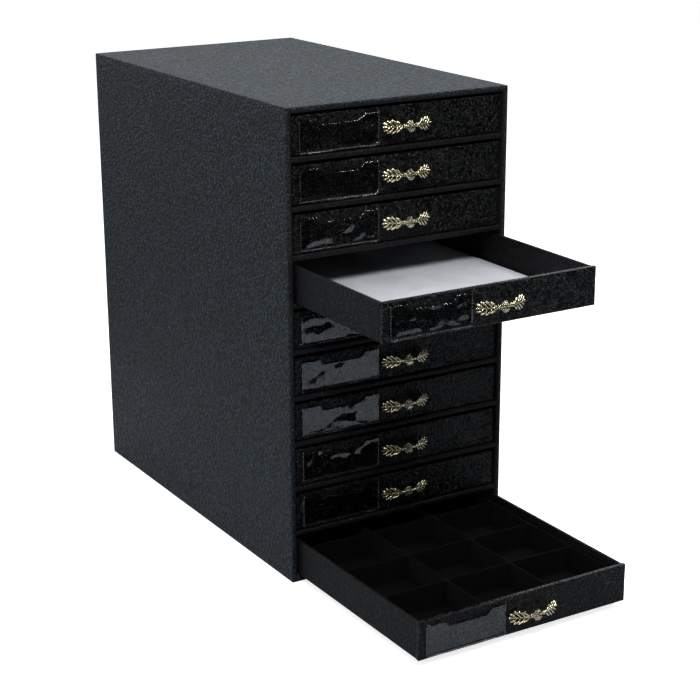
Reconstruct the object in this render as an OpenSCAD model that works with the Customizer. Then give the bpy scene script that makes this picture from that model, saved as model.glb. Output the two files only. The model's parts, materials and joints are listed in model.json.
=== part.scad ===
// Ten-drawer jewelry armoire: a leatherette-covered board chest with shallow drawers.
// Millimetres. The origin is the middle of the chest's footprint, on the surface it stands on.
// +X is to the right when facing the drawers, -Y is the way they pull out, and +Z is up.

/* [Chest] */
// Outer width of the chest
case_w = 234; // [230:0.5:250]
// Outer depth of the chest, front edge to back
case_d = 404; // [400:1:440]
// Thickness of the sides, top and back, cover included
wall_t = 5; // [4:0.5:8]
// Thickness of the base, lining included
base_t = 7; // [5:0.5:12]
// Thickness of the leatherette cover
cover_t = 0.6; // [0.4:0.1:1]
// Radius of the two long upper edges
edge_r = 2.5; // [1.5:0.5:4]

/* [Shelves] */
// Thickness of a shelf at its bound front edge
shelf_t = 5; // [4:0.5:7]
// Clear height between two shelves
bay_h = 38.5; // [36:0.5:60]
// Depth of the leatherette binding on a shelf's front edge
binding_d = 20; // [10:1:40]
// Thickness of the binding
binding_t = 0.5; // [0.3:0.1:0.8]

/* [Drawers] */
// Gap at each side of a drawer
side_gap = 2; // [1:0.5:3]
// Gap under a drawer
slide_gap = 0.4; // [0.3:0.1:1]
// Height of a drawer front
front_h = 35.2; // [32:0.1:36]
// Thickness of a drawer front
front_t = 5; // [4:0.5:8]
// How far a closed drawer front sits behind the chest's front edge
front_recess = 2; // [0:0.5:4]
// Length of a drawer, front included
drawer_l = 386; // [384:1:390]
// Height of a drawer's sides and back
tray_h = 34.6; // [31:0.1:35]
// Thickness of a drawer's sides, back and bottom
tray_t = 3; // [2:0.5:4]
// Glue line between two boards of a drawer, or two strips of the insert
glue_t = 0.05; // [0.02:0.01:0.1]
// How far the fourth drawer from the top stands open
open_4 = 146; // [0:1:300]
// How far the lowest drawer stands open
open_10 = 203; // [0:1:300]

/* [Label pocket] */
// Distance of the pocket from the front's left edge
pocket_x = 6; // [4:0.5:10]
// Width of the pocket
pocket_w = 82.5; // [60:0.5:90]
// Distance of the pocket's upper edge from the front's top
pocket_drop = 4; // [2:0.5:8]
// Depth of the thumb cut-out
notch_h = 5.5; // [3:0.5:8]
// Width of the thumb cut-out at its top
notch_w = 49; // [30:1:60]
// Thickness of the clear film
film_t = 0.4; // [0.3:0.1:0.6]

/* [Pull] */
// Length of the pull, leaf tip to leaf tip
pull_l = 52; // [48:1:56]
// How far the pull's bow stands off the front
pull_out = 11; // [10:0.5:14]
// Distance of the pull's middle from the front's middle
pull_x = 5; // [0:0.5:10]
// Clear depth behind the bow
finger_gap = 7.6; // [6.5:0.1:8]
// Distance between the two screws
screw_pitch = 38; // [36:1:40]

/* [Contents] */
// Thickness of a drawer's velvet pad
pad_t = 5; // [3:0.5:8]
// Width of a standard jeweller's tray insert
insert_w = 209.5; // [209:0.1:210]
// Length of a standard jeweller's tray insert
insert_l = 374.6; // [374:0.1:375]
// Height of the insert
insert_h = 25; // [20:0.5:28]
// Compartments across the insert
insert_columns = 3; // [2:1:4]
// Compartments along the insert
insert_rows = 6; // [4:1:8]
// Thickness of the insert's walls and dividers
divider_t = 2; // [1.5:0.5:3]

/* [Hidden] */
$fn = 64;
eps = 0.01;
drawers = [1 : 10];
drawer_count = len([for (n = drawers) n]);
pitch = bay_h + shelf_t;
case_h = base_t + drawer_count * bay_h + (drawer_count - 1) * shelf_t + wall_t;
lining_t = 0.6;
board_t = wall_t - cover_t;
inner_w = case_w - 2 * wall_t;
inner_d = case_d - wall_t - cover_t;
board_d = case_d - 2 * cover_t;
front_edge = -case_d / 2;

drawer_w = inner_w - 2 * side_gap;
front_r = 1.5;
pocket_h = front_h - pocket_drop;
notch_x = 18;
notch_slope = 5;
weld_w = 1.5;

pull_z = front_h / 2;
bar_h = 3.6;
leaf_h = 16;
rosette_r = 5.6;
rosette_dome_r = 7;
rosette_back = 6.6;
screw_r = 1.5;
screw_head_r = 3;
screw_head_t = 1.6;
screw_grip = 3.5;
tip_t = 3;
tip_half_h = 1;
leaf_x = 8;
leaf_lobes = 4;
outline_step = 1;
dome_rise = 1.8;
hole_play = 0.1;

pad_play = 1;
pad_corner_r = 3;
insert_floor_t = 1.5;

leatherette = "#26282c";
coarse_leatherette = "#1b1c1f";
board = "#3a3531";
velvet_grey = "#a9a9ae";
velvet_black = "#141416";
brass = "#b3a477";
clear_film = "#c9ced6";

function two_digits(n) = n < 10 ? str("0", n) : str(n);
function drawer_node(n, piece) = str("drawer_", two_digits(n), "_", piece);
function drawer_open(n) = n == 4 ? open_4 : n == drawer_count ? open_10 : 0;
function drawer_z(n) = base_t + (drawer_count - n) * pitch + slide_gap;
function shelf_z(n) = base_t + n * pitch - shelf_t;
function lining_piece(n) = n == drawer_count ? "compartment_insert" : "pad";

// A bar of rounded section along X, its section in Y and Z given by the children.
module along_x(length) { rotate([90, 0, 90]) linear_extrude(length, center = true) children(); }

// A length of section along Y, its section in X and Z given by the children.
module along_y(from, to) { translate([0, to, 0]) rotate([90, 0, 0]) linear_extrude(to - from) children(); }

// A block from its lowest corner and its size.
module block(x, y, z, size) { translate([x, y, z]) cube(size); }

// A rectangle on the line z = 0 with its two upper corners rounded.
module arched_section(w, h, r) {
    translate([-w / 2, 0]) square([w, h - r]);
    translate([-w / 2 + r, 0]) square([w - 2 * r, h]);
    for (side = [-1, 1]) translate([side * (w / 2 - r), h - r]) circle(r);
}

// A rectangle with its front upper and lower corners rounded, its back flat.
module nosed_section(d, h, r) {
    translate([r, 0]) square([d - r, h]);
    translate([0, r]) square([r, h - 2 * r]);
    for (z = [r, h - r]) translate([r, z]) circle(r);
}

// ---- Chest ----

module side_board(side) {
    block(side > 0 ? inner_w / 2 : -inner_w / 2 - board_t, front_edge + cover_t, lining_t,
        [board_t, board_d, case_h - wall_t - lining_t]);
}

module side_panel_left() { color(board) side_board(-1); }

module side_panel_right() { color(board) side_board(1); }

module top_panel() {
    color(board) along_y(front_edge + cover_t, front_edge + cover_t + board_d) intersection() {
        arched_section(case_w - 2 * cover_t, case_h - cover_t, edge_r - cover_t);
        translate([-case_w / 2, case_h - wall_t]) square([case_w, wall_t]);
    }
}

module base_panel() {
    color(board) block(-inner_w / 2, front_edge + cover_t, lining_t, [inner_w, inner_d, base_t - lining_t]);
}

module back_panel() {
    color(board) block(-inner_w / 2, case_d / 2 - wall_t, lining_t,
        [inner_w, board_t, case_h - wall_t - lining_t]);
}

module shelves() {
    shelf_core = shelf_t - 2 * binding_t;
    color(board) for (n = [1 : drawer_count - 1]) {
        block(-inner_w / 2, front_edge + binding_t, shelf_z(n) + binding_t,
            [inner_w, binding_d - binding_t, shelf_core]);
        block(-inner_w / 2, front_edge + binding_d, shelf_z(n),
            [inner_w, case_d - wall_t - binding_d, shelf_t]);
    }
}

module shelf_bindings() {
    color(leatherette) for (n = [1 : drawer_count - 1]) translate([0, front_edge, shelf_z(n)])
        difference() {
            along_x(inner_w) nosed_section(binding_d, shelf_t, front_r);
            block(-case_w / 2, binding_t, binding_t, [case_w, binding_d, shelf_t - 2 * binding_t]);
        }
}

module outer_cover() {
    color(leatherette) difference() {
        along_y(front_edge, case_d / 2 - cover_t) arched_section(case_w, case_h, edge_r);
        along_y(front_edge + cover_t, case_d / 2) translate([0, -eps])
            arched_section(case_w - 2 * cover_t, case_h - cover_t + eps, edge_r - cover_t);
        along_y(front_edge - eps, case_d / 2)
            translate([-inner_w / 2, base_t]) square([inner_w, case_h - wall_t - base_t]);
    }
}

module back_cover() {
    color(leatherette) along_y(case_d / 2 - cover_t, case_d / 2) arched_section(case_w, case_h, edge_r);
}

module base_lining() {
    color(leatherette) block(-case_w / 2 + cover_t, front_edge + cover_t, 0,
        [case_w - 2 * cover_t, board_d, lining_t]);
}

// ---- Drawers ----

// Places a drawer's piece: in it, x = 0 is the drawer's middle, y = 0 the face of its front and
// z = 0 its underside.
module at_drawer(n) { translate([0, front_edge + front_recess - drawer_open(n), drawer_z(n)]) children(); }

module tray(n) {
    side_l = drawer_l - front_t;
    between = drawer_w - 2 * (tray_t + glue_t);
    color(coarse_leatherette) at_drawer(n) {
        for (x = [-drawer_w / 2, drawer_w / 2 - tray_t]) block(x, front_t, 0, [tray_t, side_l, tray_h]);
        block(-between / 2, front_t, 0, [between, side_l, tray_t]);
        block(-between / 2, drawer_l - tray_t, tray_t + glue_t, [between, tray_t, tray_h - tray_t - glue_t]);
    }
}

module front(n) {
    color(coarse_leatherette) at_drawer(n) difference() {
        along_x(drawer_w) nosed_section(front_t, front_h, front_r);
        at_screws() translate([0, 0, -eps]) cylinder(r = screw_r + 2 * hole_play, h = front_t + 2 * eps);
    }
}

// Places the children at both screws, their +Z pointing into the drawer from the front's face.
module at_screws() {
    for (side = [-1, 1]) translate([pull_x + side * screw_pitch / 2, 0, pull_z])
        rotate([-90, 0, 0]) children();
}

// The film and, behind it, the U of its welded edge, which leaves a slot for the label.
module label_pocket(n) {
    color(clear_film) at_drawer(n) translate([-drawer_w / 2 + pocket_x, 0, 0]) {
        rotate([90, 0, 0]) {
            translate([0, 0, film_t]) linear_extrude(film_t) pocket_outline();
            linear_extrude(film_t) difference() {
                pocket_outline();
                translate([weld_w, weld_w + front_r]) square([pocket_w - 2 * weld_w, front_h]);
            }
        }
    }
}

module pocket_outline() {
    left = notch_x;
    right = notch_x + notch_w;
    floor_z = pocket_h - notch_h;
    polygon([
        [0, front_r], [pocket_w, front_r], [pocket_w, pocket_h], [right, pocket_h],
        [right - notch_slope, floor_z], [left + notch_slope, floor_z], [left, pocket_h], [0, pocket_h]]);
}

module pull(n) {
    color(brass) at_drawer(n) {
        translate([pull_x, 0, pull_z]) difference() {
            union() {
                intersection() {
                    linear_extrude(leaf_h, center = true) bow_section();
                    rotate([90, 0, 0]) linear_extrude(pull_out) pull_outline();
                }
                rosette();
            }
            for (side = [-1, 1]) translate([side * screw_pitch / 2, eps, 0])
                rotate([90, 0, 0]) cylinder(r = screw_r + hole_play, h = screw_grip + 0.5);
        }
        at_screws() {
            translate([0, 0, -screw_grip]) cylinder(r = screw_r, h = screw_grip + front_t + eps);
            translate([0, 0, front_t]) cylinder(r = screw_head_r, h = screw_head_t);
        }
    }
}

// The pull seen from above: an arc from tip to tip, hollowed behind for the fingers.
module bow_section() {
    foot_x = 16.5;
    outer_r = arc_radius(pull_l / 2 + tip_t, pull_out);
    inner_r = arc_radius(foot_x, finger_gap);
    intersection() {
        difference() {
            translate([0, outer_r - pull_out]) circle(outer_r, $fn = 128);
            translate([0, inner_r - finger_gap]) circle(inner_r, $fn = 128);
        }
        translate([-pull_l, -pull_l]) square([2 * pull_l, pull_l]);
    }
}

// Radius of the arc that rises by rise over half a chord.
function arc_radius(half_chord, rise) = (half_chord * half_chord + rise * rise) / (2 * rise);

// The pull seen from the front: a bar that widens at each end into a leaf with scalloped edges.
module pull_outline() {
    edge = [for (x = [-pull_l / 2 : outline_step : pull_l / 2]) [x, half_height(abs(x))]];
    polygon(concat(edge, [for (i = [len(edge) - 1 : -1 : 0]) [edge[i][0], -edge[i][1]]]));
}

// Half the pull's height at a distance from its middle.
function half_height(x) = x < leaf_x ? bar_h / 2 : leaf_half_height((x - leaf_x) / (pull_l / 2 - leaf_x));

// Half a leaf's height, at 0 on its neck to 1 at its tip.
function leaf_half_height(along) =
    let (swell = pow(sin(180 * pow(along, 0.75)), 0.7), scallop = 0.88 + 0.12 * cos(360 * leaf_lobes * along))
    max(along < 0.5 ? bar_h / 2 : tip_half_h, leaf_h / 2 * swell * scallop);

module rosette() {
    dome_centre = pull_out + dome_rise - rosette_dome_r;
    rotate([90, 0, 0]) rotate_extrude() intersection() {
        translate([0, dome_centre]) circle(rosette_dome_r);
        translate([0, rosette_back]) square([rosette_r, rosette_dome_r]);
    }
}

module pad(n) {
    w = drawer_w - 2 * tray_t - 2 * pad_play;
    l = drawer_l - front_t - tray_t - 2 * pad_play;
    color(velvet_grey) at_drawer(n) translate([0, front_t + pad_play + l / 2, tray_t])
        linear_extrude(pad_t) round_rectangle(w, l, pad_corner_r);
}

module round_rectangle(w, l, r) {
    square([w - 2 * r, l], center = true);
    square([w, l - 2 * r], center = true);
    for (x = [-1, 1]) for (y = [-1, 1]) translate([x * (w / 2 - r), y * (l / 2 - r)]) circle(r);
}

// Velvet-covered strips round and between the compartments, on a thin floor.
module compartment_insert(n) {
    cell_x = (insert_w - (insert_columns + 1) * divider_t) / insert_columns;
    cell_y = (insert_l - (insert_rows + 1) * divider_t) / insert_rows;
    wall_h = insert_h - insert_floor_t - glue_t;
    back_play = 0.5;
    color(velvet_black) at_drawer(n)
        translate([-insert_w / 2, drawer_l - tray_t - back_play - insert_l, tray_t]) {
            cube([insert_w, insert_l, insert_floor_t]);
            translate([0, 0, insert_floor_t + glue_t]) {
                for (c = [0 : insert_columns])
                    block(c * (cell_x + divider_t), 0, 0, [divider_t, insert_l, wall_h]);
                for (c = [0 : insert_columns - 1]) for (r = [0 : insert_rows])
                    block(divider_t + c * (cell_x + divider_t) + glue_t, r * (cell_y + divider_t), 0,
                        [cell_x - 2 * glue_t, divider_t, wall_h]);
            }
        }
}

side_panel_left();
side_panel_right();
top_panel();
base_panel();
back_panel();
shelves();
shelf_bindings();
outer_cover();
back_cover();
base_lining();
for (n = drawers) {
    tray(n);
    front(n);
    label_pocket(n);
    pull(n);
    pad(n);
    compartment_insert(n);
}
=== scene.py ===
"""Finishes a ten-drawer jewelry armoire round its frame: leatherette, clear pockets, pulls and velvet."""

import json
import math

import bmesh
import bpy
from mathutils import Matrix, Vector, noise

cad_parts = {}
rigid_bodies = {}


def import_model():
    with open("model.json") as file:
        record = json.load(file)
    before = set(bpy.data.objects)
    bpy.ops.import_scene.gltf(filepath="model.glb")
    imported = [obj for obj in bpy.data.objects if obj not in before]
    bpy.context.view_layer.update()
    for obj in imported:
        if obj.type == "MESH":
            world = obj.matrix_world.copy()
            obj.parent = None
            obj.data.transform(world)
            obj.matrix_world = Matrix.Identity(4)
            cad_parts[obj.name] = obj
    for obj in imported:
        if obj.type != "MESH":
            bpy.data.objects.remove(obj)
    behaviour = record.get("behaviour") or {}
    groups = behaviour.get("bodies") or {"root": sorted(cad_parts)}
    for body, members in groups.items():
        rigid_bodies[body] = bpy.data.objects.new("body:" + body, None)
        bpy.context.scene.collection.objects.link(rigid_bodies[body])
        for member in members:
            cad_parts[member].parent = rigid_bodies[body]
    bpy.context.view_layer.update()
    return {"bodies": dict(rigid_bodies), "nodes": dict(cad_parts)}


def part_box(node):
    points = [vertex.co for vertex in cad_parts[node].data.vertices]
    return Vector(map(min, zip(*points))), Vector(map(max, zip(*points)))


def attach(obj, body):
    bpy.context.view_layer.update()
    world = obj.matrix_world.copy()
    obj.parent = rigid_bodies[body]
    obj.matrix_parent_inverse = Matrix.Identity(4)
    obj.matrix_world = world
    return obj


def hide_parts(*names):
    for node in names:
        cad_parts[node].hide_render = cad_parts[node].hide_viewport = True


bl_info = {
    "name": "Jewelry Armoire",
    "version": (1, 0, 0),
    "blender": (4, 5, 0),
    "location": "View3D > Sidebar > Armoire",
    "description": "Covers, pockets, pulls and linings of a ten-drawer jewelry armoire",
    "category": "Add Mesh",
}

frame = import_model()

MM = 0.001
X, Y, Z = (Vector(axis) for axis in ((1, 0, 0), (0, 1, 0), (0, 0, 1)))
CHEST = "chest"
DRAWERS = sorted(body for body in frame["bodies"] if body.startswith("drawer_"))
INSERT_DRAWER = DRAWERS[-1]
SHELF_COUNT = len(DRAWERS) - 1
# How wavy each label pocket has become, from the top drawer down
FILM_WAVES = (0.45, 0.4, 0.45, 0.5, 0.8, 0.9, 0.95, 0.75, 0.5, 0.15)
# Sizes that the frame's parts share
COVER_T = 0.6 * MM
WALL_T = 5 * MM
BASE_T = 7 * MM
SHELF_T = 5 * MM
TRAY_T = 3 * MM
SCREW_X = 19 * MM
# How far two places may differ and still be the same
CLOSE = 0.01 * MM


def linear(hex_code):
    """An sRGB hex colour as linear red, green, blue and alpha."""
    parts = [int(hex_code[i : i + 2], 16) / 255 for i in (1, 3, 5)]
    return (*[c / 12.92 if c <= 0.04045 else ((c + 0.055) / 1.055) ** 2.4 for c in parts], 1.0)


# ---------------------------------------------------------------- properties


def length(name, description, default_mm):
    """A length property, given in millimetres and kept in metres."""
    return bpy.props.FloatProperty(
        name=name, description=description, default=default_mm * MM, min=0, max=1, unit="LENGTH", precision=5
    )


def tint(name, description, hex_code):
    """A colour property, given as sRGB hex and kept linear."""
    return bpy.props.FloatVectorProperty(
        name=name, description=description, default=linear(hex_code), size=4, min=0, max=1, subtype="COLOR"
    )


class ArmoireSizes(bpy.types.PropertyGroup):
    """Sizes that the frame doesn't give."""

    edge_radius: length("Edge radius", "Rounding of the chest's covered edges", 1.3)
    turn_in: length("Turn-in", "How far the cover turns in round the front opening", 14)
    back_border: length("Back border", "Border that the back sheet leaves of the turned cover", 6)
    front_radius: length("Front radius", "Rounding of a drawer front's covered edges", 1.3)
    rim_radius: length("Rim radius", "Rounding of a tray's covered rim", 0.9)
    swell: length("Swell", "Unevenness of leatherette glued over board", 0.12)
    film: length("Film thickness", "Thickness of a label pocket's clear film", 0.35)
    film_bulge: length("Film bulge", "How far the film stands off the front in its middle", 0.7)
    stitch_pitch: length("Stitch pitch", "From one stitch to the next", 2.6)
    thread: length("Thread", "Diameter of the thread", 0.55)
    pull_voxel: length("Pull voxel", "Fineness of the cast pulls' surface", 0.27)
    pad_rise: length("Pad rise", "The most that velvet may rise over its foam", 1.1)


class ArmoireColours(bpy.types.PropertyGroup):
    """Colours of the finishes."""

    cover: tint("Cover", "Fine-grained leatherette of the chest", "#10242f")
    front: tint("Drawer front", "Coarse-grained leatherette of the fronts", "#060607")
    tray: tint("Tray", "Fine-grained leatherette of the drawers", "#0e0e10")
    board: tint("Bay lining", "Paper lining of the drawer bays", "#0c0c0d")
    brass: tint("Brass", "High parts of the cast pulls", "#efe5c2")
    patina: tint("Patina", "Hollows of the cast pulls", "#1a160b")
    pad: tint("Pad velvet", "Velvet of the drawer pads", "#c9ccd2")
    insert: tint("Insert velvet", "Velvet of the compartment insert", "#040405")
    thread: tint("Thread", "Sewing thread of the label pockets", "#66676a")
    floor: tint("Floor", "Studio floor", "#f4f4f4")


def sizes():
    return bpy.context.scene.armoire_sizes


def colours():
    return bpy.context.scene.armoire_colours


# ---------------------------------------------------------------- materials


def add(material, kind, inputs=None, **settings):
    """Adds a node with its settings; an input takes a value, a node for its first output, or an output."""
    made = material.node_tree.nodes.new(kind)
    for key, value in settings.items():
        setattr(made, key, value)
    for key, value in (inputs or {}).items():
        if isinstance(value, bpy.types.Node):
            value = value.outputs[0]
        if isinstance(value, bpy.types.NodeSocket):
            material.node_tree.links.new(value, made.inputs[key])
        else:
            made.inputs[key].default_value = value
    return made


def new_material(name):
    """A material without nodes but for its texture coordinates, which it returns too."""
    material = bpy.data.materials.new(name)
    material.use_nodes = True
    material.node_tree.nodes.clear()
    return material, add(material, "ShaderNodeTexCoord").outputs["Object"]


def finish_surface(material, shader):
    add(material, "ShaderNodeOutputMaterial", {"Surface": shader})
    return material


def leatherette(name, base, grain, stretch, depth, roughness, specular, gloss_spread, painted_grain_shade):
    """PVC leatherette: knitted cloth coated with vinyl and embossed by a roller with a pebble grain.

    The vinyl is glossier on the pebbles' tops than in the creases. Its colour is painted with shade:
    darker in the creases and lighter on the pebble tops, by the fraction that the last argument gives.
    grain is the pebble's width, stretch how much longer it is along X and Y, and depth the emboss.
    """
    m, where = new_material(name)
    stretched = add(m, "ShaderNodeMapping", {"Vector": where, "Scale": (1 / stretch, 1 / stretch, 1)})
    warp = add(m, "ShaderNodeTexNoise", {"Vector": stretched, "Scale": 0.4 / grain, "Detail": 2.0})
    bent = add(
        m, "ShaderNodeMixRGB",
        {"Fac": 1.4 * grain, "Color1": stretched, "Color2": warp.outputs["Color"]},
        blend_type="ADD",
    )
    pebble = add(m, "ShaderNodeTexVoronoi", {"Vector": bent, "Scale": 1 / grain, "Randomness": 0.95})
    dome = add(
        m, "ShaderNodeMapRange",
        {
            "Value": pebble.outputs["Distance"], "From Min": 0.1, "From Max": 0.72,
            "To Min": 1.0, "To Max": 0.0,
        },
        interpolation_type="SMOOTHSTEP",
    )
    lumps = add(m, "ShaderNodeTexNoise", {"Vector": bent, "Scale": 0.45 / grain, "Detail": 3.0})
    lift = add(
        m, "ShaderNodeMapRange",
        {"Value": lumps.outputs["Fac"], "From Min": 0.35, "From Max": 0.65, "To Min": 0.3, "To Max": 1.0},
    )
    height = add(m, "ShaderNodeMath", {0: dome, 1: lift}, operation="MULTIPLY")
    bump = add(m, "ShaderNodeBump", {"Height": height, "Distance": depth, "Strength": 1.0})
    blotch = add(m, "ShaderNodeTexNoise", {"Vector": where, "Scale": 14.0, "Detail": 2.0})
    # Painted shade: the colour darkens in the grain's creases and lightens on the pebble tops, by the last
    # argument
    shade = add(m, "ShaderNodeMapRange", {"Value": height, "To Min": 1 - painted_grain_shade, "To Max": 1 + painted_grain_shade})
    drift = add(
        m, "ShaderNodeMapRange",
        {"Value": blotch.outputs["Fac"], "From Min": 0.3, "From Max": 0.7, "To Min": 0.88, "To Max": 1.12},
    )
    both = add(m, "ShaderNodeMath", {0: shade, 1: drift}, operation="MULTIPLY")
    tinted = add(m, "ShaderNodeVectorMath", {0: tuple(base[:3]), "Scale": both}, operation="SCALE")
    shine = add(
        m, "ShaderNodeMapRange",
        {
            "Value": height, "To Min": min(1.0, roughness + gloss_spread),
            "To Max": roughness - gloss_spread,
        },
    )
    skin = add(
        m, "ShaderNodeBsdfPrincipled",
        {
            "Base Color": tinted, "Roughness": shine, "Normal": bump,
            "Specular IOR Level": specular, "IOR": 1.5,
        },
    )
    return finish_surface(m, skin)


def fine_leatherette():
    """The chest's cover. Its real grain is about 1 mm, and is drawn over twice as wide so that it shows."""
    return leatherette(
        "fine leatherette", colours().cover, grain=2.4 * MM, stretch=1.0, depth=1.9 * MM,
        # The last argument paints shade into the grain: darker creases, lighter pebble tops
        roughness=0.4, specular=0.4, gloss_spread=0.2, painted_grain_shade=0.95,
    )


def tray_leatherette():
    """The drawers' sides, backs and bottoms: black, its fine, shallow grain drawn nearly as wide."""
    return leatherette(
        "tray leatherette", colours().tray, grain=2.0 * MM, stretch=1.0, depth=0.7 * MM,
        # The last argument paints shade into the grain: darker creases, lighter pebble tops
        roughness=0.48, specular=0.2, gloss_spread=0.12, painted_grain_shade=0.5,
    )


def coarse_leatherette():
    """The drawer fronts: a deep pebble about 2 mm wide, pulled sideways, with a semi-gloss vinyl skin."""
    return leatherette(
        "coarse leatherette", colours().front, grain=2.0 * MM, stretch=1.3, depth=1.3 * MM,
        # The last argument paints shade into the grain: darker creases, lighter pebble tops
        roughness=0.22, specular=0.22, gloss_spread=0.08, painted_grain_shade=0.8,
    )


def bay_paper():
    """Black embossed paper glued inside the bays: matt, with the faint tooth of paper fibre."""
    m, where = new_material("bay paper")
    fibre = add(
        m, "ShaderNodeTexNoise", {"Vector": where, "Scale": 1 / (0.8 * MM), "Detail": 5.0, "Roughness": 0.7}
    )
    bump = add(m, "ShaderNodeBump", {"Height": fibre.outputs["Fac"], "Distance": 0.05 * MM})
    tone = add(
        m, "ShaderNodeMapRange",
        {"Value": fibre.outputs["Fac"], "From Min": 0.35, "From Max": 0.65, "To Min": 0.8, "To Max": 1.2},
    )
    colour = add(
        m, "ShaderNodeVectorMath",
        {0: tuple(colours().board[:3]), "Scale": tone},
        operation="SCALE",
    )
    paper = add(
        m, "ShaderNodeBsdfPrincipled",
        {
            "Base Color": colour, "Roughness": 0.85, "Specular IOR Level": 0.3,
            "Normal": bump,
        },
    )
    return finish_surface(m, paper)


def clear_vinyl():
    """Calendered clear PVC film, 0.35 mm: soft, glass-smooth, and a little hazy in drifts."""
    m, where = new_material("clear vinyl film")
    haze = add(m, "ShaderNodeTexNoise", {"Vector": where, "Scale": 1 / (9 * MM), "Detail": 2.0})
    dull = add(
        m, "ShaderNodeMapRange",
        {"Value": haze.outputs["Fac"], "From Min": 0.35, "From Max": 0.75, "To Min": 0.02, "To Max": 0.07},
    )
    film = add(
        m, "ShaderNodeBsdfPrincipled",
        {
            "Base Color": linear("#e9eef2"), "Roughness": dull, "IOR": 1.5,
            "Transmission Weight": 1.0,
        },
    )
    return finish_surface(m, film)


def cast_brass():
    """Die-cast brass, antiqued dark and relieved: pale rubbed metal on high parts, patina in hollows.

    The mesh's patina attribute is 0 on the high parts and 1 in the hollows.
    """
    m, where = new_material("antiqued cast brass")
    hollow = add(m, "ShaderNodeAttribute", attribute_name="patina").outputs["Fac"]
    cloud = add(m, "ShaderNodeTexNoise", {"Vector": where, "Scale": 1 / (1.6 * MM), "Detail": 4.0})
    uneven = add(m, "ShaderNodeMath", {0: cloud.outputs["Fac"], 1: 0.5, 2: -0.25}, operation="MULTIPLY_ADD")
    dirt = add(m, "ShaderNodeMath", {0: hollow, 1: uneven}, operation="ADD")
    stain = add(
        m, "ShaderNodeMapRange", {"Value": dirt, "From Min": 0.12, "From Max": 0.62},
        interpolation_type="SMOOTHSTEP",
    )
    colour = add(
        m, "ShaderNodeMix",
        {"Factor": stain, "A": tuple(colours().brass), "B": tuple(colours().patina)},
        data_type="RGBA",
    )
    dull = add(m, "ShaderNodeMapRange", {"Value": stain, "To Min": 0.18, "To Max": 0.6})
    grit = add(m, "ShaderNodeTexNoise", {"Vector": where, "Scale": 1 / (0.35 * MM), "Detail": 2.0})
    bump = add(m, "ShaderNodeBump", {"Height": grit.outputs["Fac"], "Distance": 0.03 * MM, "Strength": 0.6})
    metal = add(
        m, "ShaderNodeBsdfPrincipled",
        {
            "Base Color": colour.outputs["Result"], "Metallic": 1.0, "Roughness": dull,
            "Normal": bump,
        },
    )
    return finish_surface(m, metal)


def velvet(name, base, sheen):
    """Short-pile velvet glued over foam or card: no gloss, a soft sheen, and a nap that lies in drifts.

    A pile fibre is far too fine to show, so the fuzz is drawn about 0.5 mm wide.
    """
    m, where = new_material(name)
    nap = add(
        m, "ShaderNodeTexNoise", {"Vector": where, "Scale": 1 / (26 * MM), "Detail": 3.0, "Distortion": 0.6}
    )
    fuzz = add(
        m, "ShaderNodeTexNoise", {"Vector": where, "Scale": 1 / (0.5 * MM), "Detail": 3.0, "Roughness": 0.7}
    )
    lay = add(
        m, "ShaderNodeMapRange",
        {"Value": nap.outputs["Fac"], "From Min": 0.35, "From Max": 0.65, "To Min": 0.92, "To Max": 1.06},
    )
    tuft = add(
        m, "ShaderNodeMapRange",
        {"Value": fuzz.outputs["Fac"], "From Min": 0.3, "From Max": 0.7, "To Min": 0.86, "To Max": 1.12},
    )
    both = add(m, "ShaderNodeMath", {0: lay, 1: tuft}, operation="MULTIPLY")
    colour = add(m, "ShaderNodeVectorMath", {0: tuple(base[:3]), "Scale": both}, operation="SCALE")
    bump = add(m, "ShaderNodeBump", {"Height": fuzz.outputs["Fac"], "Distance": 0.2 * MM, "Strength": 0.7})
    pile = add(
        m, "ShaderNodeBsdfPrincipled",
        {
            "Base Color": colour, "Roughness": 0.95, "Specular IOR Level": 0.1,
            "Sheen Weight": sheen, "Sheen Roughness": 0.4, "Normal": bump,
        },
    )
    return finish_surface(m, pile)


def pad_velvet():
    return velvet("grey velvet", colours().pad, sheen=0.35)


def insert_velvet():
    return velvet("black velvet", colours().insert, sheen=0.03)


def sewing_thread():
    """Bonded polyester thread: two plies twisted about each other, seen as slanting ridges."""
    m, where = new_material("polyester thread")
    ply = add(
        m, "ShaderNodeTexWave", {"Vector": where, "Scale": 1 / (2.4 * MM), "Distortion": 0.4},
        bands_direction="DIAGONAL",
    )
    bump = add(m, "ShaderNodeBump", {"Height": ply.outputs["Fac"], "Distance": 0.06 * MM})
    fibre = add(
        m, "ShaderNodeBsdfPrincipled",
        {
            "Base Color": tuple(colours().thread), "Roughness": 0.5,
            "Sheen Weight": 0.2, "Normal": bump,
        },
    )
    return finish_surface(m, fibre)


def plated_steel():
    """Brass-plated steel: a dull shine, a little uneven."""
    m, where = new_material("brass-plated steel")
    scratch = add(m, "ShaderNodeTexNoise", {"Vector": where, "Scale": 1 / (0.6 * MM), "Detail": 4.0})
    dull = add(m, "ShaderNodeMapRange", {"Value": scratch.outputs["Fac"], "To Min": 0.25, "To Max": 0.45})
    metal = add(
        m, "ShaderNodeBsdfPrincipled",
        {"Base Color": linear("#c2ab6d"), "Metallic": 1.0, "Roughness": dull},
    )
    return finish_surface(m, metal)


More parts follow.
